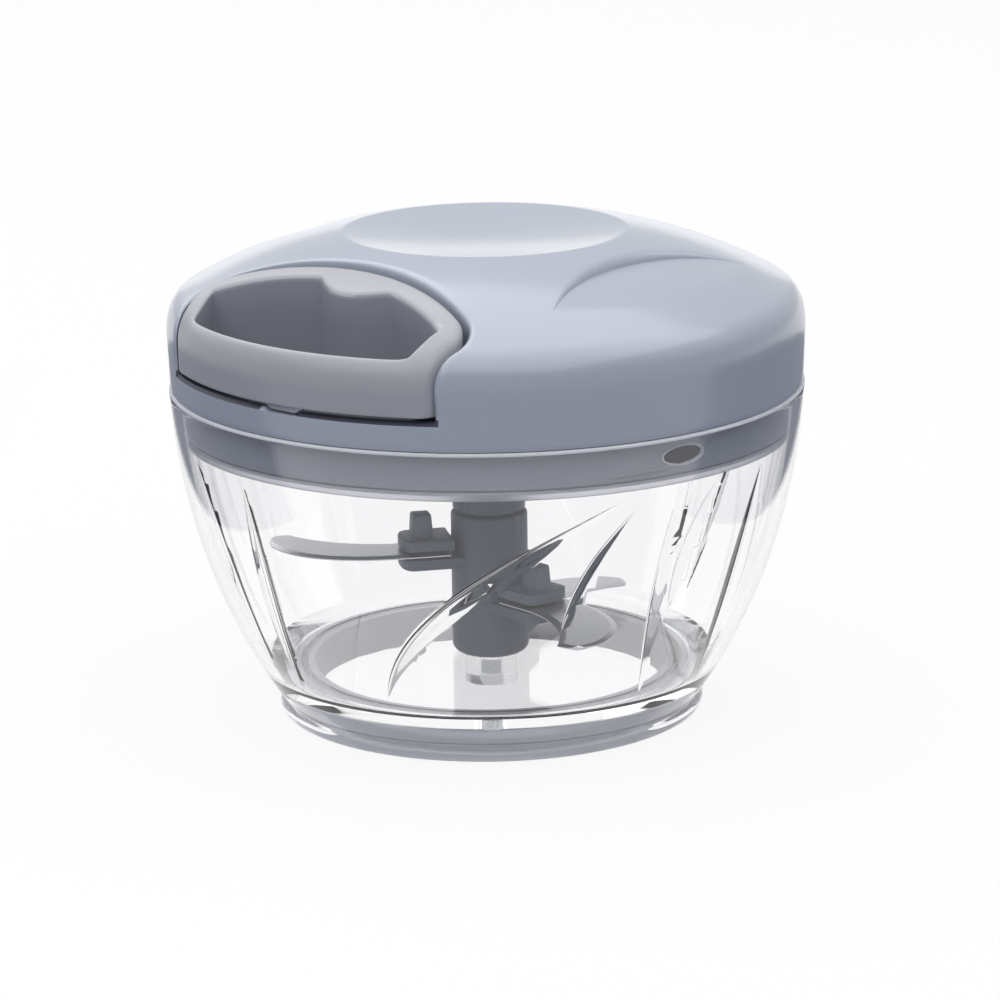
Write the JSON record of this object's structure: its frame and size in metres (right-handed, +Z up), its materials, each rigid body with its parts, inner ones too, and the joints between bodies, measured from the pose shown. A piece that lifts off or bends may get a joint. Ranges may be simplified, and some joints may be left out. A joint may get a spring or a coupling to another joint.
{
  "type": "pull-cord food chopper",
  "caption": "Hand food chopper: clear bowl, domed lid with a D-shaped handle on a cord, reel, return spring and one-way drive, and a column of sickle blades.",
  "frame": {"origin": "middle of the foot, on the surface that the chopper stands on", "axes": "+Z up along the blades' axis, the handle pulls along -Y, +X to the right seen from the handle"},
  "size_m": [0.123, 0.123, 0.0942],
  "materials": {
    "clear_plastic": "clear moulded plastic, glossy",
    "grey_silicone": "soft grey silicone, satin",
    "pale_silicone": "pale silicone, satin",
    "lid_plastic": "fine satin moulded plastic, blue grey",
    "handle_plastic": "satin moulded plastic, light warm grey",
    "dark_plastic": "satin moulded plastic, dark grey",
    "white_acetal": "natural acetal",
    "nylon_cord": "braided nylon",
    "blade_steel": "ground stainless steel",
    "spring_steel": "tempered spring steel",
    "plated_steel": "plated steel"
  },
  "bodies": {
    "base": {"bowl": "clear_plastic", "anti_slip_ring": "grey_silicone", "spindle_pin": "plated_steel"},
    "lid": {"lid_cover": "lid_plastic", "lid_plate": "lid_plastic", "lid_seal": "pale_silicone", "cord_guide": "white_acetal", "drive_bush": "white_acetal", "mainspring": "spring_steel", "reel_washer": "plated_steel", "reel_screw": "plated_steel", "cord_lead": "nylon_cord", "lid_screw_1": "plated_steel", "lid_screw_2": "plated_steel", "lid_screw_3": "plated_steel", "lid_screw_4": "plated_steel"},
    "handle": {"pull_handle": "handle_plastic", "cord_knot": "nylon_cord"},
    "reel": {"cord_reel": "white_acetal", "cord_winding": "nylon_cord", "spring_cover": "white_acetal"},
    "drive": {"drive_socket": "dark_plastic", "pawl_wheel": "white_acetal"},
    "rotor": {"blade_column": "dark_plastic", "blade_low": "blade_steel", "blade_middle": "blade_steel", "blade_high": "blade_steel", "blade_clip_low": "dark_plastic", "blade_clip_middle": "dark_plastic", "blade_clip_high": "dark_plastic"}
  },
  "joints": [
    {"name": "lid_lift", "type": "slide", "parent": "base", "child": "lid", "axis": [0, 0, 1], "range_m": [0, 0.12]},
    {"name": "handle_pull", "type": "slide", "parent": "lid", "child": "handle", "axis": [0, -1, 0], "range_m": [0, 0.3], "stiffness_N_per_m": 20, "springref_m": -0.15, "deforming": ["cord_lead"]},
    {"name": "reel_turn", "type": "hinge", "parent": "lid", "child": "reel", "pos_m": [0, 0, 0.07], "axis": [0, 0, 1], "range_deg": [0, 760], "deforming": ["mainspring"]},
    {"name": "drive_turn", "type": "hinge", "parent": "lid", "child": "drive", "pos_m": [0, 0, 0.07], "axis": [0, 0, 1], "range_deg": [0, 760]},
    {"name": "rotor_turn", "type": "hinge", "parent": "base", "child": "rotor", "pos_m": [0, 0, 0.07], "axis": [0, 0, 1], "range_deg": [0, 760]}
  ],
  "couplings": [
    {"joint": "reel_turn", "follows": "handle_pull", "rad_per_m": 43.86},
    {"joint": "drive_turn", "follows": "handle_pull", "rad_per_m": 43.86},
    {"joint": "rotor_turn", "follows": "handle_pull", "rad_per_m": 43.86}
  ]
}
